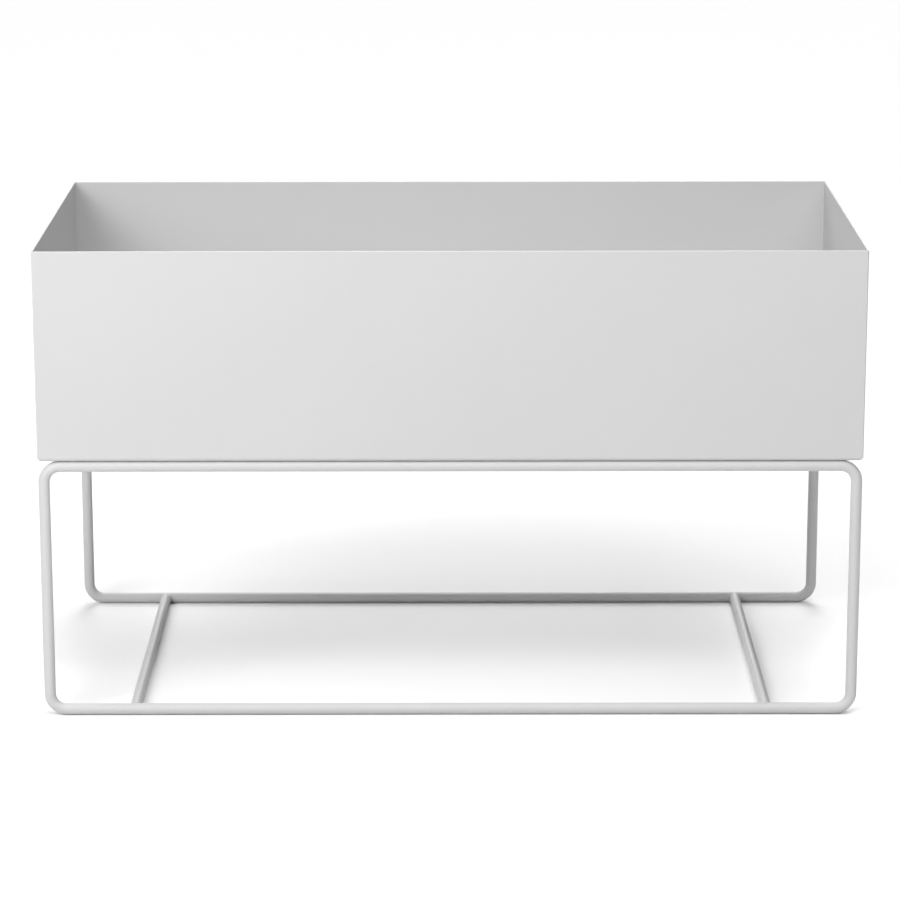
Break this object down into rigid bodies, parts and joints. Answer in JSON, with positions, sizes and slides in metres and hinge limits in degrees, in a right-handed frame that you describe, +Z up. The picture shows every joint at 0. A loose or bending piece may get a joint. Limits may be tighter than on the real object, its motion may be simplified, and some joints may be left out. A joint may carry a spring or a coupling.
{
  "type": "raised planter",
  "caption": "Rectangular folded-steel planter box, open at the top, bolted onto a low stand of bent and welded round bar with looped legs and floor-level crossbars.",
  "frame": {"origin": "middle of the footprint, on the surface that the planter stands on", "axes": "+X along the width, to the right as seen from the front; +Y from front to back; +Z up"},
  "size_m": [0.8, 0.4, 0.465],
  "materials": {
    "box_powder_coat": "light grey powder coat, matt, with a fine even texture",
    "stand_powder_coat": "light grey powder coat, matt to satin, with a fine even texture",
    "copper_flashed_steel": "thin copper flash on mild steel weld studs",
    "zinc_plated_steel": "bright zinc plate",
    "nylon": "natural nylon"
  },
  "bodies": {
    "root": {"planter_box": "box_powder_coat", "front_loop": "stand_powder_coat", "rear_loop": "stand_powder_coat", "lower_crossbar_left": "stand_powder_coat", "lower_crossbar_right": "stand_powder_coat", "upper_crossbar_left": "stand_powder_coat", "upper_crossbar_right": "stand_powder_coat", "corner_plate_front_left": "stand_powder_coat", "corner_plate_front_right": "stand_powder_coat", "corner_plate_rear_left": "stand_powder_coat", "corner_plate_rear_right": "stand_powder_coat", "weld_studs": "copper_flashed_steel", "plate_washers": "zinc_plated_steel", "lock_nuts": "zinc_plated_steel", "nut_rings": "nylon"}
  },
  "joints": []
}
